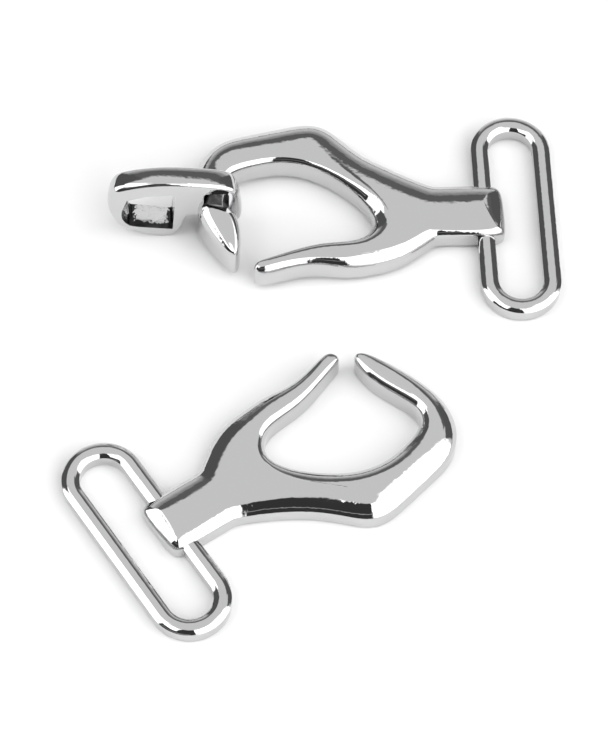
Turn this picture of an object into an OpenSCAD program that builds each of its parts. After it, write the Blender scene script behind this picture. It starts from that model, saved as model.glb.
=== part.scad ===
// Two-part cast metal clasp for a 30 mm belt strap.
// Each half is one casting: an open hand with a thumb and a bent finger, a wrist
// block, and an oval ring that the strap is sewn round. The hook half is the plain
// hand. The keeper half carries an upright eye at the finger's knuckle, and the
// hook half's finger goes through that eye. The halves lie unfastened on a table.

/* [Strap ring] */
// Width of the strap that the ring takes
strap_w = 30; // [26:0.5:34]
// Depth of the strap slot
slot_d = 6.9; // [6:0.1:8]
// Width of the ring's bar, seen from above
bar_w = 2.6; // [2.4:0.1:3.2]
// Height of the ring's bar
bar_h = 2.7; // [2.2:0.1:3.2]
// Width of the flat along the top of the bar
bar_flat = 0.8; // [0.3:0.1:1.6]

/* [Hand] */
// Height of the upright wall, as a share of the height at the crown
wall_share = 0.6; // [0.4:0.02:0.7]
// Rounding of the lower edges
foot_r = 0.3; // [0.2:0.05:0.5]
// Angle at which the shoulder leaves the wall
shoulder_start = 25; // [0:1:35]

/* [Keeper eye] */
// Front face of the eye, along the finger
eye_front = 0.35; // [0:0.05:0.8]
// Thickness of the eye, front to back
eye_t = 3.9; // [3:0.1:4.5]
// Depth of the rounding at the eye's back edge
eye_back_depth = 2.4; // [0.6:0.1:2.5]
// Inward reach of the rounding at the eye's back edge
eye_back_reach = 0.84; // [0.4:0.02:1]
// Inner and outer side of the slot over the finger's neck
neck_slot = [43.6, 47.4]; // [43:0.1:48]
// Lower and upper end of the slot over the finger's neck
neck_slot_z = [4.2, 10.2]; // [3:0.1:11]
// Depth of the window's widening at the front
mouth_depth = 1.4; // [0.5:0.1:2]

/* [Layout] */
// Turn of the hook half on the table
hook_turn = 34; // [0:1:90]
// Turn of the keeper half on the table
keeper_turn = -177.5; // [-180:0.5:-90]
// Place of the hook half's ring, from the middle of the pair
hook_at = [-24.5, -28.6]; // [-60:0.1:60]
// Place of the keeper half's ring, from the middle of the pair
keeper_at = [30.4, 26.6]; // [-60:0.1:60]

/* [Hidden] */

$fn = 48;
metal = [0.78, 0.78, 0.79];

// Points worked out on each span of a spline
spans = 4;
// Slope of the bar's shoulder at the flat and at the wall, and the steps between
bar_slope = [12, 45];
bar_steps = 5;
// Steps round the hand's shoulder, round its lower edge and round the eye's edges
shoulder_steps = 6;
foot_steps = 2;
eye_steps = 3;
// Run of a cutter past the face it leaves
cut = 1;

// The hand's outline is drawn as ladders of rungs: two points on opposite sides
// of a limb, and the height of the crown. The shoulder's inward reach at a point
// isn't the same in the two halves, which were polished by hand.
// Wrist, from its end inside the ring to the palm
// columns: thumb side x, y, reach in the hook and in the keeper half,
// finger side x, y, both reaches, crown
wrist_rungs = [
    [  1.7,   2.6,   2.6,   2.4,    1.8,  -2.1,   1.6,   3.6,  3.55],
    [  1.8,   4.5,   3.2,   1.6,    2.1,  -4.6,   1.8,   4.4,  3.65],
    [  4.4,   4.7,   3.9,   1.0,    4.4, -4.85,   2.2,   4.5,  3.65],
    [  8.6,  4.65,   4.1,   0.9,    8.6, -4.85,   2.3,   4.5,  3.68],
    [ 11.6,   4.6,   4.0,   1.0,   11.6, -4.85,   2.5,   4.5,  3.75],
    [ 12.4,   4.7,   3.8,   1.4,   12.3, -4.85,   2.7,   4.5,  3.8],
    [ 13.2,   5.2,   3.6,   2.0,   13.2, -5.15,   2.9,   4.6,  3.87],
    [ 16.6,  7.85,   3.8,   2.2,   16.6, -6.75,   3.2,   4.6,  4.17],
    [ 20.0,   9.2,   3.7,   2.2,   20.0, -8.75,   3.7,   4.6,  4.38],
];

// Sideways shift of the wrist from its ring, towards the thumb, in the hook and in
// the keeper half
wrist_shift = [0, -0.4];

// Inside corner between thumb and finger: x, y, both reaches, crown
crotch = [21.3, 1.4, 1.4, 3.2, 4.18];

// Thumb, from the palm
// columns: outer x, y, both reaches, inner x, y, both reaches, crown
thumb_rungs = [
    [ 23.0,   9.3,   3.2,   2.1,   23.2,   4.1,   1.3,   2.2,  4.46],
    [ 26.5,   9.7,   2.5,   1.6,   26.2,   4.8,   1.2,   1.6,  4.55],
    [ 30.5,   8.9,   1.8,   1.1,   30.0,   4.9,   1.0,   1.6,  4.6],
    [ 34.0,   9.3,   1.5,   1.2,   33.8,   6.0,   0.9,   1.4,  4.6],
    [ 37.5,  10.3,   1.1,   1.4,   37.5,   7.5,   0.7,   1.0,  4.58],
];
// Two points round the thumb's end in the hook and in the keeper half: x, y, reach, crown
thumb_tips = [
    [[39.0, 10.0, 0.7, 4.4], [39.9, 8.1, 0.7, 4.4]],
    [[40.1, 10.6, 1.2, 4.3], [40.4, 8.4, 0.7, 4.3]],
];

// Finger, from the palm to the knuckle
// columns: inner x, y, both reaches, outer x, y, both reaches, crown
finger_rungs = [
    [ 22.6,  -1.6,   2.2,   2.4,   22.5, -10.5,   4.1,   4.4,  4.45],
    [ 25.2,  -4.4,   2.6,   1.3,   25.3, -13.1,   4.2,   4.3,  4.53],
    [ 28.5,  -7.0,   2.7,   1.0,   27.9, -16.0,   4.2,   4.2,  4.58],
    [ 32.0,  -8.8,   2.7,   0.9,   31.0, -17.0,   4.2,   4.1,  4.6],
    [ 36.0,  -9.4,   2.6,   0.9,   35.5, -16.0,   4.1,   3.9,  4.6],
    [ 40.0,  -8.6,   2.4,   1.0,   40.5, -15.0,   3.9,   3.7,  4.6],
    [ 43.0,  -7.6,   2.0,   1.1,   44.6, -14.0,   3.4,   3.4,  4.6],
    [ 44.2,  -5.4,   1.6,   1.3,   47.6, -10.8,   3.0,   2.8,  4.6],
];
// End of the hook half's finger, beyond the knuckle
// columns: inner x, y, reach, outer x, y, reach, crown
hook_rungs = [
    [ 43.4,  -2.8,   1.3,   48.6,  -6.4,   2.6,  4.6],
    [ 42.2,   0.0,   1.2,   47.9,  -2.4,   2.2,  4.6],
    [ 41.2,   2.6,   1.2,   46.6,   1.2,   1.8,  4.6],
    [ 40.9,   5.2,   1.0,   45.0,   4.4,   1.5,  4.6],
];
hook_tip = [[41.1, 7.8, 0.7, 4.45], [43.1, 7.4, 0.7, 4.45]];

// End of the keeper half's finger: a neck in the eye, then a pointed head
held_rungs = [
    [ 43.8,  -3.4,   1.8,   49.0,  -6.6,   2.2,  5.2],
    [ 43.7,  -2.2,   1.7,   48.0,  -3.8,   1.8,  6.0],
    [ 43.7,  -1.4,   1.7,   47.4,  -1.6,   1.7,  6.6],
    [ 43.4,  -0.4,   1.8,   48.0,  -0.6,   1.7,  7.3],
    [ 42.6,   1.2,   1.5,   48.5,   0.4,   1.7,  7.5],
    [ 42.1,   3.0,   1.2,   47.6,   2.8,   1.7,  7.1],
    [ 41.9,   5.2,   1.1,   46.0,   5.2,   1.4,  6.5],
];
held_tip = [[42.4, 8.4, 0.8, 5.7], [43.9, 8.0, 0.8, 5.7]];

// Eye from the leg at the finger's inner side to the far end
// columns: upper edge x, z, lower edge x, z, rounding of the front edge
eye_rungs = [
    [42.0,  9.4,  43.0, 2.4, 0.7],
    [43.0, 11.3,  45.4, 2.6, 0.7],
    [46.0, 12.2,  47.4, 3.2, 0.6],
    [49.0, 12.6,  48.4, 4.2, 0.6],
    [51.5, 12.9,  50.0, 4.8, 0.6],
    [53.5, 13.0,  50.6, 0.6, 0.6],
    [56.0, 12.8,  52.2, -1.8, 0.7],
    [59.0, 12.2,  56.0, -1.2, 1.0],
    [61.4, 11.0,  59.6, 0.4, 1.3],
];
// Ends of the eye's outline: x, z, rounding of the front edge
eye_inner_end = [[41.6, 2.6, 0.7], [41.6, 6.4, 0.7]];
eye_far_end = [[62.0, 7.0, 1.3], [61.4, 3.2, 1.3]];
// Window of the eye, and its mouth at the front face: x, z of the corners
eye_window = [[52.2, 0.9], [58.6, 2.2], [58.9, 8.9], [56.0, 9.9], [51.6, 10.2]];
eye_mouth = [[52.1, 0.8], [57.4, 1.6], [58.6, 2.0], [59.3, 2.9], [59.7, 3.9],
             [59.8, 5.0], [59.7, 6.1], [59.4, 7.2], [58.9, 8.9], [56.0, 9.9],
             [51.6, 10.2]];

// Uniform cubic B-spline through one span of four control rows
function span_point(a, b, c, d, t) =
    (pow(1 - t, 3) * a + (3 * pow(t, 3) - 6 * pow(t, 2) + 4) * b
    + (-3 * pow(t, 3) + 3 * pow(t, 2) + 3 * t + 1) * c + pow(t, 3) * d) / 6;
function closed_spline(rows, steps) =
    let (n = len(rows))
    [for (i = [0 : n - 1], j = [0 : steps - 1])
        span_point(rows[(i + n - 1) % n], rows[i], rows[(i + 1) % n],
                   rows[(i + 2) % n], j / steps)];

function reversed(list) = [for (i = [len(list) - 1 : -1 : 0]) list[i]];
// The rungs of one half, with its own reaches: 0 is the hook, 1 the keeper half
function rungs_of(rungs, half) =
    [for (r = rungs) [r[0], r[1], r[2 + half], r[4], r[5], r[6 + half], r[8]]];
// The two rails of a ladder of rungs, as rows of x, y, reach, crown
function first_rail(rungs) = [for (r = rungs) [r[0], r[1], r[2], r[6]]];
function second_rail(rungs) = [for (r = rungs) [r[3], r[4], r[5], r[6]]];
// The same rungs, moved sideways
function moved(rungs, dy) =
    [for (r = rungs) [r[0], r[1] + dy, r[2], r[3], r[4] + dy, r[5], r[6]]];
function unit(v) = v / norm(v);

// Inward reach and height of one row of the hand's section over an outline point
function hand_section(p, k) =
    k <= foot_steps
    ? let (a = 90 * k / foot_steps) foot_r * [1 - sin(a), 1 - cos(a)]
    : let (a = shoulder_start
               + (90 - shoulder_start) * (k - foot_steps - 1) / shoulder_steps,
           rise = min((1 - wall_share) * p[3], p[2]))
      [p[2] * (1 - cos(a) / cos(shoulder_start)),
       p[3] - rise * (1 - sin(a)) / (1 - sin(shoulder_start))];

// Inward reach and depth of one row of the eye's section over an outline point,
// from front to back
function eye_section(p, k) =
    k <= eye_steps
    ? let (a = 90 * k / eye_steps) p[2] * [1 - sin(a), 1 - cos(a)]
    : let (a = 90 * (k - eye_steps - 1) / eye_steps)
      [eye_back_reach * (1 - cos(a)), eye_t - eye_back_depth * (1 - sin(a))];

// A ring of points: the outline, which runs clockwise, moved inwards by a row
function ring_at(outline, rows) =
    let (n = len(outline))
    [for (i = [0 : n - 1])
        let (p = outline[i],
             d = unit([outline[(i + 1) % n][0] - outline[(i + n - 1) % n][0],
                       outline[(i + 1) % n][1] - outline[(i + n - 1) % n][1]]))
        [p[0] + d[1] * rows[i][0], p[1] - d[0] * rows[i][0], rows[i][1]]];

// Triangles across a limb, between a rail that starts at a and one that ends at b
function strip(a, b, steps, n) =
    [for (j = [0 : steps - 1])
        each (a + j + 1 == b - j - 1
            ? [[a + j, a + j + 1, (b - j) % n]]
            : [[a + j, a + j + 1, (b - j) % n],
               [(b - j) % n, a + j + 1, b - j - 1]])];

// Closed solid from rings of points, with the same cap on the first and last ring
module lofted(rings, cap) {
    n = len(rings[0]);
    last = len(rings) - 1;
    walls = [for (k = [0 : last - 1], i = [0 : n - 1])
        let (a = k * n + i, b = k * n + (i + 1) % n, c = a + n, d = b + n)
        each [[a, b, d], [a, d, c]]];
    foot = [for (t = cap) [t[2], t[1], t[0]]];
    crown = [for (t = cap) [for (i = t) i + last * n]];
    polyhedron(points = [for (r = rings) each r], faces = concat(walls, foot, crown),
               convexity = 10);
}

// Hand, thumb and wrist as one domed solid
module hand(half, end_rungs, end_tip) {
    wrist = moved(rungs_of(wrist_rungs, half), wrist_shift[half]);
    thumb = rungs_of(thumb_rungs, half);
    fingers = concat(rungs_of(finger_rungs, half), end_rungs);
    corner_point = [crotch[0], crotch[1], crotch[2 + half], crotch[4]];
    w = len(wrist);
    t = len(thumb);
    f = len(fingers);
    corner = w + 2 * t + 2;
    back = corner + 2 * f + 3;
    control = concat(
        first_rail(wrist), first_rail(thumb), thumb_tips[half],
        reversed(second_rail(thumb)), [corner_point],
        first_rail(fingers), end_tip, reversed(second_rail(fingers)),
        reversed(second_rail(wrist)));
    outline = closed_spline(control, spans);
    n = len(outline);
    cap = concat(
        strip(n - spans, n, spans / 2, n),
        strip(0, n - spans, (w - 1) * spans, n),
        strip((w - 1) * spans, corner * spans, (2 * t + 3) * spans / 2, n),
        strip(corner * spans, back * spans, (2 * f + 3) * spans / 2, n),
        [[(w - 1) * spans, corner * spans, back * spans]]);
    lofted([for (k = [0 : foot_steps + 1 + shoulder_steps])
        ring_at(outline, [for (p = outline) hand_section(p, k)])], cap);
}

// Section of the ring's bar, standing on the table: a flat, a shoulder to each side
// that ends in an edge, upright walls and a rounded foot
module bar_section() {
    half = bar_w / 2;
    radius = (half - bar_flat / 2) / (sin(bar_slope[1]) - sin(bar_slope[0]));
    shoulder = [for (k = [0 : bar_steps])
        let (a = bar_slope[0] + (bar_slope[1] - bar_slope[0]) * k / bar_steps)
        [bar_flat / 2 + radius * (sin(a) - sin(bar_slope[0])),
         bar_h - radius * (cos(bar_slope[0]) - cos(a))]];
    foot = [for (k = [0 : foot_steps])
        let (a = 90 * k / foot_steps)
        [half - foot_r * (1 - cos(a)), foot_r * (1 - sin(a))]];
    side = concat(shoulder, foot);
    polygon(concat(side, reversed([for (p = side) [-p[0], p[1]]])));
}

// Oval ring that the strap is sewn round, centred on the origin
module strap_ring() {
    bend = (slot_d + bar_w) / 2;
    straight = strap_w - slot_d;
    for (side = [0, 180]) rotate(side) {
        translate([0, straight / 2]) rotate_extrude(angle = 180)
            translate([bend, 0]) bar_section();
        translate([bend, straight / 2]) rotate([90, 0, 0])
            linear_extrude(straight) bar_section();
    }
}

// Outline of the eye in the plane of its front face, as x, z and front rounding
eye_outline = closed_spline(concat(
    [for (g = eye_rungs) [g[0], g[1], g[4]]], eye_far_end,
    reversed([for (g = eye_rungs) [g[2], g[3], g[4]]]), eye_inner_end), spans);

// Upright eye: a rounded plate with a window, and a slot over the finger's neck
module eye() {
    r = len(eye_rungs);
    n = len(eye_outline);
    cap = concat(
        strip(0, (2 * r + 1) * spans, (r - 1) * spans, n),
        strip((r - 1) * spans, (r + 2) * spans, 3 * spans / 2, n),
        strip((2 * r + 1) * spans, n, 3 * spans / 2, n));
    translate([0, eye_front, 0]) rotate([90, 0, 0]) difference() {
        lofted([for (k = [0 : 2 * eye_steps + 1])
            ring_at(eye_outline, [for (p = eye_outline) eye_section(p, k)])], cap);
        linear_extrude(eye_t + cut) polygon(eye_window);
        hull() {
            translate([0, 0, -cut]) linear_extrude(cut) polygon(eye_mouth);
            linear_extrude(mouth_depth) polygon(eye_window);
        }
        translate([neck_slot[0], neck_slot_z[0], -cut])
            cube([neck_slot[1] - neck_slot[0], neck_slot_z[1] - neck_slot_z[0],
                  eye_t + 2 * cut]);
    }
}

module hook_half() {
    color(metal) translate(hook_at) rotate(hook_turn) {
        hand(0, hook_rungs, hook_tip);
        strap_ring();
    }
}

// The eye's foot is lower than the hand's base, so this half leans on its ring's
// outer bar, the heel, and on the lowest point of the eye, the toe.
module keeper_half() {
    heel = slot_d / 2 + bar_w - foot_r;
    toe_z = min([for (p = eye_outline) p[1]]);
    toe_x = [for (p = eye_outline) if (p[1] == toe_z) p[0]][0];
    lean = atan(-toe_z / (toe_x + heel));
    color(metal) translate(keeper_at) rotate(keeper_turn)
        translate([-heel, 0, 0]) rotate([0, -lean, 0]) translate([heel, 0, 0]) {
            hand(1, held_rungs, held_tip);
            strap_ring();
            eye();
        }
}

hook_half();
keeper_half();
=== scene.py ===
# Two-part strap clasp: polished, nickel-plated castings that lie unfastened on a white table.
import math

import bmesh
import bpy
from mathutils import Matrix, Vector


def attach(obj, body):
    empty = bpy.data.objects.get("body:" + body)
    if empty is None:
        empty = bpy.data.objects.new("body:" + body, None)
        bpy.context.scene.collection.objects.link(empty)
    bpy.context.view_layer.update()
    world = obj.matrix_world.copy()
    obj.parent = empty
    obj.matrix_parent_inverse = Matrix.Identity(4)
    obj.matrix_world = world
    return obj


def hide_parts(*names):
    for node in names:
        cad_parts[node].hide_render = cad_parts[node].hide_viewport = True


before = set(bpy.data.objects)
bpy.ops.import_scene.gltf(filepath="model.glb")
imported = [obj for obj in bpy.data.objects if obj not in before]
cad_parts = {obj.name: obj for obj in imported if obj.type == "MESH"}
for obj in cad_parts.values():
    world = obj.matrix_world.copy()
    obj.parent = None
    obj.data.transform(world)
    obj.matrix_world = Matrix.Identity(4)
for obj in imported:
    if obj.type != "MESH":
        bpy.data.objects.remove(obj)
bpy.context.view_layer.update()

mm = 0.001
weld = 0.0005   # mm, vertices closer than this are merged


# Camera, as the photo was taken: from the front, 60 degrees above the table
camera = {
    "stand": (-1.7, -266.6, 463.7),   # mm
    "target": (-1.7, -0.5, 2.8),      # mm
    "filmHeight": 36.0,               # mm, along the frame's long side
    "focal": 3596.0,                  # px
    "frame": (608, 734),              # px
    "clip": (0.01, 20),               # m
}


def placeCamera():
    data = bpy.data.cameras.new("photoCamera")
    data.sensor_fit = "VERTICAL"
    data.sensor_height = camera["filmHeight"]
    data.lens = camera["focal"] * camera["filmHeight"] / camera["frame"][1]
    data.clip_start, data.clip_end = camera["clip"]
    obj = bpy.data.objects.new("photoCamera", data)
    bpy.context.scene.collection.objects.link(obj)
    stand = Vector(camera["stand"]) * mm
    target = Vector(camera["target"]) * mm
    obj.location = stand
    obj.rotation_euler = (target - stand).to_track_quat("-Z", "Y").to_euler()
    bpy.context.scene.camera = obj


# Node helpers
def addNode(tree, kind, inputs=None, **settings):
    node = tree.nodes.new(kind)
    for name, value in settings.items():
        setattr(node, name, value)
    for name, value in (inputs or {}).items():
        if isinstance(value, bpy.types.NodeSocket):
            tree.links.new(value, node.inputs[name])
        else:
            node.inputs[name].default_value = value
    return node


def maths(tree, operation, *values):
    node = tree.nodes.new("ShaderNodeMath")
    node.operation = operation
    for socket, value in zip(node.inputs, values):
        if isinstance(value, bpy.types.NodeSocket):
            tree.links.new(value, socket)
        else:
            socket.default_value = value
    return node.outputs[0]


def smoothStep(tree, value, low, high, toLow=0.0, toHigh=1.0):
    inputs = {"Value": value, "From Min": low, "From Max": high, "To Min": toLow, "To Max": toHigh}
    node = addNode(tree, "ShaderNodeMapRange", inputs, interpolation_type="SMOOTHSTEP")
    return node.outputs["Result"]


# Studio: a grey-white ceiling, a bright front half, and cards behind and beside the camera.
# Angles in degrees; azimuth -90 is towards the camera, 0 to the right.
studio = {
    "ceiling": 0.89,
    "floorAlbedo": 0.92,
    "floorRoughness": 0.9,
    "floorRadius": 600,   # mm
    "floorSides": 96,
    "floorGain": 1.01,    # extra light on the matt table
    "pastTable": 1.1,     # what the camera sees past the table's edge
    # the bright front reaches as far back as a tilted plane, whose x factor differs by side
    "front": {"right": 0.083, "left": -0.214, "y": -0.589, "z": 0.105, "soft": 0.02,
              "high": 73, "highSoft": 2.0, "light": 2.4},
    "panels": [
        # middle azimuth, half width, low, high, edge softness, brightness
        {"name": "cameraWall", "at": -100, "half": 22, "low": -8, "high": 74, "soft": 2, "light": 0.05},
        {"name": "cameraSide", "at": -139, "half": 19, "low": -8, "high": 46, "soft": 2, "light": 0.05},
        {"name": "streak", "at": -112, "half": 40, "low": 31, "high": 33, "soft": 2, "light": 0.7},
        {"name": "backdrop", "at": 84, "half": 44, "low": 2, "high": 30, "soft": 3, "light": 0.78},
        {"name": "backHaze", "at": 84, "half": 44, "low": 18, "high": 38, "soft": 9, "light": 0.36},
        {"name": "backHigh", "at": 84, "half": 44, "low": 29, "high": 48, "soft": 2.5, "light": 0.16},
        {"name": "backLeft", "at": 141, "half": 26, "low": -2, "high": 49, "soft": 3, "light": 0.12},
        {"name": "backRight", "at": 36, "half": 20, "low": -2, "high": 40, "soft": 3, "light": 0.13},
        {"name": "tableEdge", "at": -90, "half": 180, "low": -3, "high": 2, "soft": 1.5, "light": 0.1},
    ],
}


def makePanelGroup():
    group = bpy.data.node_groups.new("lightPanel", "ShaderNodeTree")
    face = group.interface
    for name in ("Azimuth", "Elevation", "Middle", "Half width", "Low", "High", "Softness"):
        face.new_socket(name=name, in_out="INPUT", socket_type="NodeSocketFloat")
    face.new_socket(name="Mask", in_out="OUTPUT", socket_type="NodeSocketFloat")
    ins = group.nodes.new("NodeGroupInput").outputs
    outs = group.nodes.new("NodeGroupOutput").inputs
    away = maths(group, "SUBTRACT", ins["Azimuth"], ins["Middle"])
    away = maths(group, "WRAP", away, 180.0, -180.0)
    away = maths(group, "ABSOLUTE", away)
    inner = maths(group, "SUBTRACT", ins["Half width"], ins["Softness"])
    outer = maths(group, "ADD", ins["Half width"], ins["Softness"])
    across = smoothStep(group, away, inner, outer, 1.0, 0.0)
    lowA = maths(group, "SUBTRACT", ins["Low"], ins["Softness"])
    lowB = maths(group, "ADD", ins["Low"], ins["Softness"])
    highA = maths(group, "SUBTRACT", ins["High"], ins["Softness"])
    highB = maths(group, "ADD", ins["High"], ins["Softness"])
    rise = smoothStep(group, ins["Elevation"], lowA, lowB)
    fall = smoothStep(group, ins["Elevation"], highA, highB, 1.0, 0.0)
    mask = maths(group, "MULTIPLY", across, maths(group, "MULTIPLY", rise, fall))
    group.links.new(mask, outs["Mask"])
    return group


def buildStudio():
    world = bpy.data.worlds.new("tent")
    bpy.context.scene.world = world
    world.use_nodes = True
    tree = world.node_tree
    tree.nodes.clear()

    def layer(below, mask, light):
        mix = addNode(tree, "ShaderNodeMix", data_type="FLOAT")
        for socket, value in zip((mix.inputs[0], mix.inputs[2], mix.inputs[3]), (mask, below, light)):
            if isinstance(value, bpy.types.NodeSocket):
                tree.links.new(value, socket)
            else:
                socket.default_value = value
        return mix.outputs[0]

    ray = addNode(tree, "ShaderNodeTexCoord").outputs["Generated"]
    xyz = addNode(tree, "ShaderNodeSeparateXYZ", {"Vector": ray}).outputs
    azimuth = maths(tree, "DEGREES", maths(tree, "ARCTAN2", xyz["Y"], xyz["X"]))
    elevation = maths(tree, "DEGREES", maths(tree, "ARCSINE", xyz["Z"]))
    front = studio["front"]
    sideways = maths(tree, "MAXIMUM", maths(tree, "MULTIPLY", xyz["X"], front["right"]),
                     maths(tree, "MULTIPLY", xyz["X"], front["left"]))
    depth = maths(tree, "ADD", sideways, maths(tree, "MULTIPLY", xyz["Y"], front["y"]))
    depth = maths(tree, "ADD", depth, maths(tree, "MULTIPLY", xyz["Z"], front["z"]))
    bright = smoothStep(tree, depth, -front["soft"], front["soft"])
    under = smoothStep(tree, elevation, front["high"] - front["highSoft"],
                       front["high"] + front["highSoft"], 1.0, 0.0)
    light = layer(studio["ceiling"], maths(tree, "MULTIPLY", bright, under), front["light"])
    panel = makePanelGroup()
    for card in studio["panels"]:
        inputs = {"Azimuth": azimuth, "Elevation": elevation, "Middle": card["at"],
                  "Half width": card["half"], "Low": card["low"], "High": card["high"],
                  "Softness": card["soft"]}
        node = addNode(tree, "ShaderNodeGroup", inputs, node_tree=panel, label=card["name"])
        light = layer(light, node.outputs["Mask"], card["light"])
    # the matt table takes more light; the camera itself sees plain white past the table's edge
    path = addNode(tree, "ShaderNodeLightPath").outputs
    lift = layer(1.0, path["Is Diffuse Ray"], studio["floorGain"])
    light = layer(maths(tree, "MULTIPLY", light, lift), path["Is Camera Ray"],
                  studio["pastTable"])
    background = addNode(tree, "ShaderNodeBackground", {"Color": (1, 1, 1, 1), "Strength": light})
    out = addNode(tree, "ShaderNodeOutputWorld")
    tree.links.new(background.outputs[0], out.inputs["Surface"])

    bm = bmesh.new()
    bmesh.ops.create_circle(bm, cap_ends=True, segments=studio["floorSides"],
                            radius=studio["floorRadius"] * mm)
    mesh = bpy.data.meshes.new("table")
    bm.to_mesh(mesh)
    bm.free()
    table = bpy.data.objects.new("table", mesh)
    bpy.context.scene.collection.objects.link(table)
    white = bpy.data.materials.new("tablePaper")
    white.use_nodes = True
    shader = white.node_tree.nodes["Principled BSDF"]
    albedo = studio["floorAlbedo"]
    shader.inputs["Base Color"].default_value = (albedo, albedo, albedo, 1)
    shader.inputs["Roughness"].default_value = studio["floorRoughness"]
    shader.inputs["Specular IOR Level"].default_value = 0.0
    mesh.materials.append(white)
    scene = bpy.context.scene
    scene.view_settings.view_transform = "Standard"
    scene.view_settings.look = "None"


# Hand: two points on opposite sides of a limb and the height of its crown, in mm from the
# middle of the strap ring. The reach of the shoulder differs between hook and keeper.
hand = {
    # thumb side x, y, both reaches, finger side x, y, both reaches, crown
    "wrist": [
        (1.7, 2.6, 2.6, 2.4, 1.8, -2.1, 1.6, 3.6, 3.55),
        (1.8, 4.5, 3.2, 1.6, 2.1, -4.6, 1.8, 4.4, 3.65),
        (4.4, 4.7, 3.9, 1.0, 4.4, -4.85, 2.2, 4.5, 3.65),
        (8.6, 4.65, 4.1, 0.9, 8.6, -4.85, 2.3, 4.5, 3.68),
        (11.6, 4.6, 4.0, 1.0, 11.6, -4.85, 2.5, 4.5, 3.75),
        (12.4, 4.7, 3.8, 1.4, 12.3, -4.85, 2.7, 4.5, 3.8),
        (13.2, 5.2, 3.6, 2.0, 13.2, -5.15, 2.9, 4.6, 3.87),
        (16.6, 7.85, 3.8, 2.2, 16.6, -6.75, 3.2, 4.6, 4.17),
        (20.0, 9.2, 3.7, 2.2, 20.0, -8.75, 3.7, 4.6, 4.38),
    ],
    "wristShift": (0.0, -0.4),   # mm towards the thumb, hook and keeper
    "crotch": (21.3, 1.4, 1.4, 3.2, 4.18),   # x, y, both reaches, crown
    # outer x, y, both reaches, inner x, y, both reaches, crown
    "thumb": [
        (23.0, 9.3, 3.2, 2.1, 23.2, 4.1, 1.3, 2.2, 4.46),
        (26.5, 9.7, 2.5, 1.6, 26.2, 4.8, 1.2, 1.6, 4.55),
        (30.5, 8.9, 1.8, 1.1, 30.0, 4.9, 1.0, 1.6, 4.6),
        (34.0, 9.3, 1.5, 1.2, 33.8, 6.0, 0.9, 1.4, 4.6),
        (37.5, 10.3, 1.1, 1.4, 37.5, 7.5, 0.7, 1.0, 4.58),
    ],
    # its end in the hook and in the keeper half, with one reach each
    "thumbEnds": [
        (39.0, 10.0, 0.7, 39.9, 8.1, 0.7, 4.4),
        (40.1, 10.6, 1.2, 40.4, 8.4, 0.7, 4.3),
    ],
    # inner x, y, both reaches, outer x, y, both reaches, crown
    "finger": [
        (22.6, -1.6, 2.2, 2.4, 22.5, -10.5, 4.1, 4.4, 4.45),
        (25.2, -4.4, 2.6, 1.3, 25.3, -13.1, 4.2, 4.3, 4.53),
        (28.5, -7.0, 2.7, 1.0, 27.9, -16.0, 4.2, 4.2, 4.58),
        (32.0, -8.8, 2.7, 0.9, 31.0, -17.0, 4.2, 4.1, 4.6),
        (36.0, -9.4, 2.6, 0.9, 35.5, -16.0, 4.1, 3.9, 4.6),
        (40.0, -8.6, 2.4, 1.0, 40.5, -15.0, 3.9, 3.7, 4.6),
        (43.0, -7.6, 2.0, 1.1, 44.6, -14.0, 3.4, 3.4, 4.6),
        (44.2, -5.4, 1.6, 1.3, 47.6, -10.8, 3.0, 2.8, 4.6),
    ],
    # the same with one reach each
    "hookEnd": [
        (43.4, -2.8, 1.3, 48.6, -6.4, 2.6, 4.6),
        (42.2, 0.0, 1.2, 47.9, -2.4, 2.2, 4.6),
        (41.2, 2.6, 1.2, 46.6, 1.2, 1.8, 4.6),
        (40.9, 5.2, 1.0, 45.0, 4.4, 1.5, 4.6),
        (41.1, 7.8, 0.7, 43.1, 7.4, 0.7, 4.45),
    ],
    "heldEnd": [
        (43.8, -3.4, 1.8, 49.0, -6.6, 2.2, 5.2),
        (43.7, -2.2, 1.7, 48.0, -3.8, 1.8, 6.0),
        (43.7, -1.4, 1.7, 47.4, -1.6, 1.7, 6.6),
        (43.4, -0.4, 1.8, 48.0, -0.6, 1.7, 7.3),
        (42.6, 1.2, 1.5, 48.5, 0.4, 1.7, 7.5),
        (42.1, 3.0, 1.2, 47.6, 2.8, 1.7, 7.1),
        (41.9, 5.2, 1.1, 46.0, 5.2, 1.4, 6.5),
        (42.4, 8.4, 0.8, 43.9, 8.0, 0.8, 5.7),
    ],
    "wallShare": 0.6,    # of the crown's height
    "shoulderStart": 25,   # degrees, where the shoulder leaves the wall
    "shoulderSteps": 5,
    "crease": 0.25,      # mm under the shoulder, the row that keeps its lower edge crisp
    # reach and height of the rows round the base, mm
    "footRows": [(0.0, 0.9), (0.0, 0.4), (0.06, 0.1)],
    "foot": 0.3,         # mm, reach of the rounding at the base
    "fork": (15.8, 0.8, 3.98),   # x, y, z of the flat's vertex before the crotch
    "levels": 3,
}


def layRungs(bm, edge, rungs, reachLayer):
    # edge is a pair of vertices; each rung is a copy of the last, drawn out to its place
    for rung in rungs:
        out = bmesh.ops.extrude_edge_only(bm, edges=[bm.edges.get(edge)])["geom"]
        fresh = {g for g in out if isinstance(g, bmesh.types.BMVert)}
        ends = []
        for old, (x, y, spread) in zip(edge, (rung[0:3], rung[3:6])):
            new = next(e.other_vert(old) for e in old.link_edges if e.other_vert(old) in fresh)
            new.co = (x, y, rung[6])
            new[reachLayer] = spread
            ends.append(new)
        edge = tuple(ends)
    return edge


def newRung(bm, rung, reachLayer):
    pair = []
    for x, y, spread in (rung[0:3], rung[3:6]):
        vert = bm.verts.new((x, y, rung[6]))
        vert[reachLayer] = spread
        pair.append(vert)
    bm.edges.new(pair)
    return tuple(pair)


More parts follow.
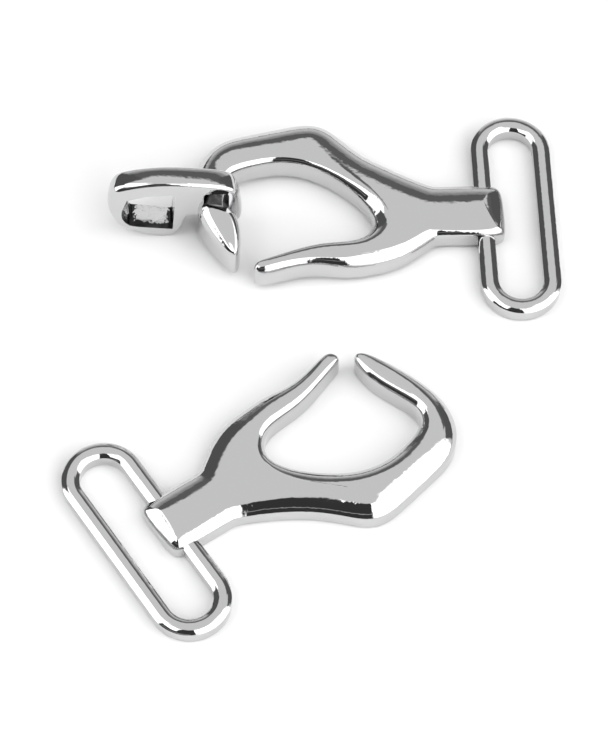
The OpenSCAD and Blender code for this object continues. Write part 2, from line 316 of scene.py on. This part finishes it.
def rimLoop(bm):
    # the ladder's outline, vertex by vertex
    edges = [e for e in bm.edges if e.is_boundary]
    start = edges[0].verts[0]
    loop, last = [start], None
    while True:
        here = loop[-1]
        step = next(e for e in here.link_edges if e.is_boundary and e is not last)
        last = step
        following = step.other_vert(here)
        if following is start:
            return loop
        loop.append(following)


def inwardSides(loop):
    # unit vectors in the plan, square to the outline, that point into the ladder
    area = sum(a.co.x * b.co.y - b.co.x * a.co.y for a, b in zip(loop, loop[1:] + loop[:1]))
    turn = 1 if area > 0 else -1
    sides = []
    for k, vert in enumerate(loop):
        along = loop[(k + 1) % len(loop)].co - loop[k - 1].co
        along.z = 0
        sides.append(Vector((-along.y, along.x, 0)).normalized() * turn)
    return sides


def drawRow(bm, loop, places):
    edges = [bm.edges.get(pair) for pair in zip(loop, loop[1:] + loop[:1])]
    out = bmesh.ops.extrude_edge_only(bm, edges=edges)["geom"]
    fresh = {g for g in out if isinstance(g, bmesh.types.BMVert)}
    row = [next(e.other_vert(vert) for e in vert.link_edges if e.other_vert(vert) in fresh)
           for vert in loop]
    for new, place in zip(row, places):
        new.co = place
    return row


def closeBody(bm, rows, footReach, footHeight):
    # the ladder becomes the crown, a turned copy of it becomes the base, and the rows join them
    loop = rimLoop(bm)
    sides = inwardSides(loop)
    outline = [v.co.copy() for v in loop]
    base = bmesh.ops.duplicate(bm, geom=bm.verts[:] + bm.edges[:] + bm.faces[:])
    copies = base["vert_map"]
    bmesh.ops.reverse_faces(bm, faces=[g for g in base["geom"] if isinstance(g, bmesh.types.BMFace)])
    for copied in [g for g in base["geom"] if isinstance(g, bmesh.types.BMVert)]:
        copied.co.z = footHeight
    for vert, side in zip(loop, sides):
        copies[vert].co += side * footReach
    for k, row in enumerate(rows):
        places = [row(vert, place, side) for vert, place, side in zip(loop, outline, sides)]
        if k == 0:
            for vert, place in zip(loop, places):
                vert.co = place
        else:
            nextLoop = drawRow(bm, nextLoop if k > 1 else loop, places)
    ends = [copies[v].co.copy() for v in loop]
    drawRow(bm, nextLoop, ends)
    bmesh.ops.remove_doubles(bm, verts=bm.verts, dist=weld)
    bmesh.ops.recalc_face_normals(bm, faces=bm.faces)


def makeHand(name, half, endRungs):
    # half 0 is the hook, 1 the keeper: each takes its own reaches from the shared rungs
    bm = bmesh.new()
    reach = bm.verts.layers.float.new("reach")
    ownColumns = [0, 1, 2 + half, 4, 5, 6 + half, 8]
    wrist, thumb, finger = ([tuple(rung[c] for c in ownColumns) for rung in hand[part]]
                            for part in ("wrist", "thumb", "finger"))
    shift = hand["wristShift"][half]
    wrist = [(x, y + shift, spread, farX, farY + shift, farSpread, crown)
             for x, y, spread, farX, farY, farSpread, crown in wrist]
    thumb = thumb + [hand["thumbEnds"][half]]
    finger = finger + endRungs
    neck = layRungs(bm, newRung(bm, wrist[0], reach), wrist[1:-2], reach)
    palm = newRung(bm, wrist[-2], reach)
    bm.edges.remove(bm.edges.get(palm))
    top = newRung(bm, wrist[-1], reach)
    bm.edges.remove(bm.edges.get(top))
    x, y, crown = hand["crotch"][0], hand["crotch"][1], hand["crotch"][4]
    corner = bm.verts.new((x, y, crown))
    corner[reach] = hand["crotch"][2 + half]
    fork = bm.verts.new(hand["fork"])
    thumbRoot = newRung(bm, thumb[0], reach)
    fingerRoot = newRung(bm, finger[0], reach)
    for corners in ((neck[0], neck[1], palm[1], fork, palm[0]),
                    (palm[0], fork, corner, top[0]), (palm[1], top[1], corner, fork),
                    (top[0], corner, thumbRoot[1], thumbRoot[0]),
                    (corner, top[1], fingerRoot[1], fingerRoot[0])):
        bm.faces.new(corners)
    layRungs(bm, thumbRoot, thumb[1:], reach)
    layRungs(bm, fingerRoot, finger[1:], reach)
    bmesh.ops.recalc_face_normals(bm, faces=bm.faces)

    start = math.radians(hand["shoulderStart"])
    rows = []
    for k in range(hand["shoulderSteps"] + 1):
        angle = math.pi / 2 + (start - math.pi / 2) * k / hand["shoulderSteps"]
        inward = 1 - math.cos(angle) / math.cos(start)
        drop = (1 - math.sin(angle)) / (1 - math.sin(start))

        def shoulderRow(vert, place, side, inward=inward, drop=drop):
            rise = min((1 - hand["wallShare"]) * place.z, vert[reach])
            return place + side * vert[reach] * inward - Vector((0, 0, rise * drop))
        rows.append(shoulderRow)

    def creaseRow(vert, place, side):
        # just under the shoulder, so that the crease stays crisp
        rise = min((1 - hand["wallShare"]) * place.z, vert[reach])
        return place - Vector((0, 0, rise + hand["crease"]))
    rows.append(creaseRow)
    for inset, height in hand["footRows"]:
        def footRow(vert, place, side, inset=inset, height=height):
            return Vector((place.x, place.y, height)) + side * inset
        rows.append(footRow)
    closeBody(bm, rows, hand["foot"], 0.0)
    return finishBody(bm, name, hand["levels"])


def finishBody(bm, name, levels):
    mesh = bpy.data.meshes.new(name)
    bm.to_mesh(mesh)
    bm.free()
    obj = bpy.data.objects.new(name, mesh)
    bpy.context.scene.collection.objects.link(obj)
    if levels:
        smooth = obj.modifiers.new("smooth", "SUBSURF")
        smooth.levels = smooth.render_levels = levels
        smooth.boundary_smooth = "ALL"
    return obj


# Oval ring for the strap, mm
ring = {
    "strap": 30.0,
    "depth": 6.9,
    "width": 2.6,
    "height": 2.7,
    "flat": 0.8,
    "slope": (12, 45),   # degrees, of the shoulder at the flat and at the wall
    "slopeSteps": 6,
    "footRound": 0.3,
    "footSteps": 4,
    "bendSteps": 40,
}


def makeRing(name):
    bm = bmesh.new()
    half = ring["width"] / 2
    bend = (ring["depth"] + ring["width"]) / 2
    straight = (ring["strap"] - ring["depth"]) / 2
    # half of the section, from the middle of the flat down to the base
    low, high = (math.radians(a) for a in ring["slope"])
    radius = (half - ring["flat"] / 2) / (math.sin(high) - math.sin(low))
    flank = []
    for k in range(ring["slopeSteps"] + 1):
        a = low + (high - low) * k / ring["slopeSteps"]
        flank.append((ring["flat"] / 2 + radius * (math.sin(a) - math.sin(low)),
                      ring["height"] - radius * (math.cos(low) - math.cos(a))))
    for k in range(ring["footSteps"] + 1):
        a = math.pi / 2 * k / ring["footSteps"]
        flank.append((half - ring["footRound"] * (1 - math.cos(a)),
                      ring["footRound"] * (1 - math.sin(a))))
    around = flank + [(-x, z) for x, z in reversed(flank)]
    section = [bm.verts.new((bend + x, straight, z)) for x, z in around]
    profile = [bm.edges.new(pair) for pair in zip(section, section[1:] + section[:1])]
    for side in (1, -1):
        turned = bmesh.ops.spin(bm, geom=profile, cent=(0, side * straight, 0), axis=(0, 0, 1),
                                angle=math.pi, steps=ring["bendSteps"], use_merge=False)
        profile = [g for g in turned["geom_last"] if isinstance(g, bmesh.types.BMEdge)]
        drawn = bmesh.ops.extrude_edge_only(bm, edges=profile)["geom"]
        fresh = [g for g in drawn if isinstance(g, bmesh.types.BMVert)]
        bmesh.ops.translate(bm, verts=fresh, vec=(0, -2 * straight * side, 0))
        profile = [g for g in drawn if isinstance(g, bmesh.types.BMEdge) and
                   all(v in fresh for v in g.verts)]
    bmesh.ops.remove_doubles(bm, verts=bm.verts, dist=weld)
    bmesh.ops.recalc_face_normals(bm, faces=bm.faces)
    return finishBody(bm, name, 0)


# Upright eye of the keeper half: upper edge x, z, lower edge x, z, front rounding, in mm
eye = {
    "rungs": [
        (42.0, 9.4, 43.0, 2.4, 0.7),
        (43.0, 11.3, 45.4, 2.6, 0.7),
        (46.0, 12.2, 47.4, 3.2, 0.6),
        (49.0, 12.6, 48.4, 4.2, 0.6),
        (51.5, 12.9, 50.0, 4.8, 0.6),
        (53.5, 13.0, 50.6, 0.6, 0.6),
        (56.0, 12.8, 52.2, -1.8, 0.7),
        (59.0, 12.2, 56.0, -1.2, 1.0),
        (61.4, 11.0, 59.6, 0.4, 1.3),
    ],
    "innerEnd": (41.6, 6.4, 41.6, 2.6, 0.7),
    "farEnd": (62.0, 7.0, 61.4, 3.2, 1.3),
    "front": 0.35,      # mm along the finger
    "thick": 3.9,
    "backDepth": 2.4,
    "backReach": 0.84,
    "steps": 3,         # rows round each edge
    "levels": 3,
    # corners x, z of the window, and of its widening at the front face
    "window": [(52.2, 0.9), (58.6, 2.2), (58.9, 8.9), (56.0, 9.9), (51.6, 10.2)],
    "mouth": [(52.1, 0.8), (57.4, 1.6), (58.6, 2.0), (59.3, 2.9), (59.7, 3.9), (59.8, 5.0),
              (59.7, 6.1), (59.4, 7.2), (58.9, 8.9), (56.0, 9.9), (51.6, 10.2)],
    "mouthDepth": 1.4,
    "windowRound": 0.45,
    "slotSides": (43.6, 47.4),
    "slotEnds": (4.2, 10.2),
    "slotRound": 0.6,
    "roundSteps": 6,    # round each corner of the window and the slot
    "over": 1.0,        # mm, run of a cutter past the face it leaves
    # the neck's surface inside the slot, mm on the table, where shade is painted
    "recessX": (-17.2, -14.0),
    "recessY": (24.3, 28.3),
    "recessZ": (5.5, 10.7),
}


def makeEye(name):
    # modelled flat, its front up, then stood on edge
    bm = bmesh.new()
    reach = bm.verts.layers.float.new("reach")
    rungs = [(upX, upZ, edge, lowX, lowZ, edge, 0.0) for upX, upZ, lowX, lowZ, edge in
             [eye["innerEnd"]] + eye["rungs"] + [eye["farEnd"]]]
    layRungs(bm, newRung(bm, rungs[0], reach), rungs[1:], reach)
    bmesh.ops.recalc_face_normals(bm, faces=bm.faces)
    rows = []
    for k in range(eye["steps"] + 1):
        angle = math.pi / 2 * k / eye["steps"]

        def frontRow(vert, place, side, angle=angle):
            inset = vert[reach] * (1 - math.sin(angle))
            return place + side * inset - Vector((0, 0, vert[reach] * (1 - math.cos(angle))))
        rows.append(frontRow)
    for k in range(eye["steps"]):
        angle = math.pi / 2 * k / eye["steps"]

        def backRow(vert, place, side, angle=angle):
            depth = eye["thick"] - eye["backDepth"] * (1 - math.sin(angle))
            return place + side * eye["backReach"] * (1 - math.cos(angle)) - Vector((0, 0, depth))
        rows.append(backRow)
    closeBody(bm, rows, eye["backReach"], -eye["thick"])
    standUp(bm)
    return finishBody(bm, name, eye["levels"])


def standUp(bm):
    bmesh.ops.rotate(bm, verts=bm.verts, cent=(0, 0, 0), matrix=Matrix.Rotation(math.pi / 2, 3, "X"))
    # the front faces along the finger
    bmesh.ops.scale(bm, verts=bm.verts, vec=(1, -1, 1))
    bmesh.ops.translate(bm, verts=bm.verts, vec=(0, eye["front"], 0))
    bmesh.ops.recalc_face_normals(bm, faces=bm.faces)


def makeCutter(name, corners, radius, materialIndex):
    bm = bmesh.new()
    verts = [bm.verts.new((x, z, eye["over"])) for x, z in corners]
    bmesh.ops.contextual_create(bm, geom=verts)
    bmesh.ops.bevel(bm, geom=bm.verts[:], offset=radius, segments=eye["roundSteps"], profile=0.5,
                    affect="VERTICES", material=-1)
    drawn = bmesh.ops.extrude_face_region(bm, geom=bm.faces[:])["geom"]
    fresh = [g for g in drawn if isinstance(g, bmesh.types.BMVert)]
    bmesh.ops.translate(bm, verts=fresh, vec=(0, 0, -eye["thick"] - 2 * eye["over"]))
    for face in bm.faces:
        face.material_index = materialIndex
    standUp(bm)
    return finishBody(bm, name, 0)


def makeMouth(name, materialIndex):
    # the window widens from its own corners to the mouth's at the front face
    bm = bmesh.new()
    for corners, depths in ((eye["mouth"], (-eye["over"], 0.0)),
                            (eye["window"], (0.0, eye["mouthDepth"]))):
        for depth in depths:
            for x, z in corners:
                bm.verts.new((x, z, -depth))
    hull = bmesh.ops.convex_hull(bm, input=bm.verts[:])
    spare = set(hull["geom_interior"]) | set(hull["geom_unused"])
    bmesh.ops.delete(bm, geom=[g for g in spare if isinstance(g, bmesh.types.BMVert)],
                     context="VERTS")
    for face in bm.faces:
        face.material_index = materialIndex
    standUp(bm)
    return finishBody(bm, name, 0)


def cutOrJoin(obj, other, operation):
    step = obj.modifiers.new(operation.lower(), "BOOLEAN")
    step.operation = operation
    step.solver = "EXACT"
    step.object = other
    step.material_mode = "INDEX"


# Where the halves lie, as in part.scad: ring's middle in mm, turn in degrees
layout = {
    "hook": {"at": (-24.5, -28.6), "turn": 34.0},
    "keeper": {"at": (30.4, 26.6), "turn": -177.5},
    "sharpAngle": 32.0,
}
# material slots of a half: the plate, the cast skin with its painted shade rim, and the painted shade
# in the neck slot
plated, cast, recess = range(3)


def layDown(name, node, body, helpers, place, materials, lean=0.0, heel=0.0):
    # the modifiers are made real, so that the piece is one closed mesh in the table's frame
    body.data.materials.clear()
    for material in materials:
        body.data.materials.append(material)
    graph = bpy.context.evaluated_depsgraph_get()
    mesh = bpy.data.meshes.new_from_object(body.evaluated_get(graph))
    mesh.name = name
    move = (Matrix.Translation((place["at"][0], place["at"][1], 0))
            @ Matrix.Rotation(math.radians(place["turn"]), 4, "Z")
            @ Matrix.Translation((-heel, 0, 0))
            @ Matrix.Rotation(-lean, 4, "Y")
            @ Matrix.Translation((heel, 0, 0)))
    mesh.transform(Matrix.Scale(mm, 4) @ move)
    for old in [body] + helpers:
        bpy.data.objects.remove(old)
    mesh.shade_smooth()
    mesh.set_sharp_from_angle(angle=math.radians(layout["sharpAngle"]))
    piece = bpy.data.objects.new(name, mesh)
    bpy.context.scene.collection.objects.link(piece)
    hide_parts(node)
    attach(piece, "root")
    return piece


def makeHookHalf(materials):
    body = makeHand("hookHand", 0, hand["hookEnd"])
    loop = makeRing("hookRing")
    cutOrJoin(body, loop, "UNION")
    piece = layDown("hookCasting", "hook_half", body, [loop], layout["hook"], materials)
    print("hook half:", len(piece.data.polygons), "faces")


def makeKeeperHalf(materials):
    body = makeHand("keeperHand", 1, hand["heldEnd"])
    loop = makeRing("keeperRing")
    upright = makeEye("eyePlate")
    window = makeCutter("eyeWindow", eye["window"], eye["windowRound"], cast)
    mouth = makeMouth("windowMouth", cast)
    (x0, x1), (z0, z1) = eye["slotSides"], eye["slotEnds"]
    # the slot's walls take the painted shade
    slot = makeCutter("neckSlot", [(x0, z0), (x1, z0), (x1, z1), (x0, z1)], eye["slotRound"], recess)
    # the eye's lowest point and the outer bar of the ring carry this half
    bpy.context.view_layer.update()
    graph = bpy.context.evaluated_depsgraph_get()
    lowest = min((v.co for v in upright.evaluated_get(graph).data.vertices), key=lambda c: c.z).copy()
    heel = ring["depth"] / 2 + ring["width"] - ring["footRound"]
    lean = math.atan(-lowest.z / (lowest.x + heel))
    for cutter in (window, mouth, slot):
        cutOrJoin(upright, cutter, "DIFFERENCE")
    cutOrJoin(body, loop, "UNION")
    cutOrJoin(body, upright, "UNION")
    piece = layDown("keeperCasting", "keeper_half", body, [loop, upright, window, mouth, slot],
                    layout["keeper"], materials, lean, heel)
    # the neck's faces inside the slot take the painted shade too
    limits = (eye["recessX"], eye["recessY"], eye["recessZ"])
    for face in piece.data.polygons:
        within = all(low < c < high for c, (low, high) in zip(face.center / mm, limits))
        if within and face.material_index == plated:
            face.material_index = recess
    print("keeper half:", len(piece.data.polygons), "faces, lean", round(math.degrees(lean), 2))


# Metal skins and painted shade, lengths in mm
plate = {
    "tone": (0.6, 0.6, 0.604),
    "roughness": (0.025, 0.075),
    # period and height of the polishing waves
    "waves": [(7.0, 0.05), (1.6, 0.02), (0.7, 0.012)],
    "smudge": 5.0,      # period of the smudges that change the roughness
    "smudgeRange": (0.35, 0.7),
    "smudgeDetail": 3.0,
}
castSkinAndPaintedShade = {
    "tone": (0.72, 0.72, 0.72),
    "roughness": 0.16,
    "waves": [(1.4, 0.06), (0.5, 0.035)],
    # painted shade: a dark rim round the window's sill, on the table: its end, its inner edges at the
    # left, right and front, its top, and how far the ragged edges wander
    "paintedShadeTone": 0.05,
    "rimEnd": -28.35,
    "rimLeft": -27.3,
    "rimRight": -22.5,
    "rimFront": 24.8,
    "rimTop": 5.0,
    "wander": 1.8,
    "wanderPeriod": 0.7,
    "wanderDetail": 3.0,
}
# painted shade: near-black metal inside the neck slot and on the neck within it
recessPaintedShade = {
    "tone": (0.1, 0.1, 0.1),
    "roughness": 0.3,
    "waves": [(1.4, 0.06)],
}


def makeWaveGroup(name, waves):
    # height in mm over the piece, from one noise for each period
    group = bpy.data.node_groups.new(name, "ShaderNodeTree")
    group.interface.new_socket(name="Place", in_out="INPUT", socket_type="NodeSocketVector")
    group.interface.new_socket(name="Height", in_out="OUTPUT", socket_type="NodeSocketFloat")
    place = group.nodes.new("NodeGroupInput").outputs["Place"]
    height = 0.0
    for period, amplitude in waves:
        noise = addNode(group, "ShaderNodeTexNoise",
                        {"Vector": place, "Scale": 1 / (period * mm), "Detail": 1.0})
        height = maths(group, "ADD", height, maths(group, "MULTIPLY", noise.outputs[0], amplitude))
    group.links.new(height, group.nodes.new("NodeGroupOutput").inputs["Height"])
    return group


def makeMetal(name, skin):
    material = bpy.data.materials.new(name)
    material.use_nodes = True
    tree = material.node_tree
    shader = tree.nodes["Principled BSDF"]
    shader.inputs["Base Color"].default_value = (*skin["tone"], 1)
    shader.inputs["Metallic"].default_value = 1.0
    place = addNode(tree, "ShaderNodeTexCoord").outputs["Object"]
    waves = addNode(tree, "ShaderNodeGroup", {"Place": place},
                    node_tree=makeWaveGroup(name + "Waves", skin["waves"]))
    bump = addNode(tree, "ShaderNodeBump", {"Height": waves.outputs["Height"], "Distance": mm,
                                            "Strength": 1.0})
    tree.links.new(bump.outputs[0], shader.inputs["Normal"])
    return material, shader, place


def makePlate():
    material, shader, place = makeMetal("polishedNickel", plate)
    tree = material.node_tree
    smudge = addNode(tree, "ShaderNodeTexNoise",
                     {"Vector": place, "Scale": 1 / (plate["smudge"] * mm),
                      "Detail": plate["smudgeDetail"]})
    rough = smoothStep(tree, smudge.outputs[0], *plate["smudgeRange"], *plate["roughness"])
    tree.links.new(rough, shader.inputs["Roughness"])
    return material


def makeCastSkinAndPaintedShade():
    material, shader, place = makeMetal("castSkinAndPaintedShade", castSkinAndPaintedShade)
    shader.inputs["Roughness"].default_value = castSkinAndPaintedShade["roughness"]
    tree = material.node_tree
    spot = addNode(tree, "ShaderNodeSeparateXYZ", {"Vector": place}).outputs
    noise = addNode(tree, "ShaderNodeTexNoise",
                    {"Vector": place, "Scale": 1 / (castSkinAndPaintedShade["wanderPeriod"] * mm),
                     "Detail": castSkinAndPaintedShade["wanderDetail"]})
    # the noise is centred on a half
    wander = maths(tree, "MULTIPLY", maths(tree, "SUBTRACT", noise.outputs[0], 0.5),
                   castSkinAndPaintedShade["wander"] * mm)
    x = maths(tree, "ADD", spot["X"], wander)
    y = maths(tree, "ADD", spot["Y"], wander)
    # painted shade: the base colour goes dark in a ragged rim round the window's sill
    left = maths(tree, "LESS_THAN", x, castSkinAndPaintedShade["rimLeft"] * mm)
    right = maths(tree, "GREATER_THAN", x, castSkinAndPaintedShade["rimRight"] * mm)
    front = maths(tree, "LESS_THAN", y, castSkinAndPaintedShade["rimFront"] * mm)
    paintedShadeRim = maths(tree, "MAXIMUM", left, maths(tree, "MAXIMUM", right, front))
    low = maths(tree, "LESS_THAN", spot["Z"], castSkinAndPaintedShade["rimTop"] * mm)
    inside = maths(tree, "GREATER_THAN", spot["X"], castSkinAndPaintedShade["rimEnd"] * mm)
    paintedShadeRim = maths(tree, "MULTIPLY", paintedShadeRim, maths(tree, "MULTIPLY", inside, low))
    tone = smoothStep(tree, paintedShadeRim, 0.0, 1.0, castSkinAndPaintedShade["tone"][0], castSkinAndPaintedShade["paintedShadeTone"])
    tree.links.new(tone, shader.inputs["Base Color"])
    return material


def makeRecessPaintedShade():
    material, shader, _ = makeMetal("recessPaintedShade", recessPaintedShade)
    shader.inputs["Roughness"].default_value = recessPaintedShade["roughness"]
    return material


placeCamera()
buildStudio()
print("camera and studio are set")
# in the order of the material slots
metals = [makePlate(), makeCastSkinAndPaintedShade(), makeRecessPaintedShade()]
makeHookHalf(metals)
makeKeeperHalf(metals)
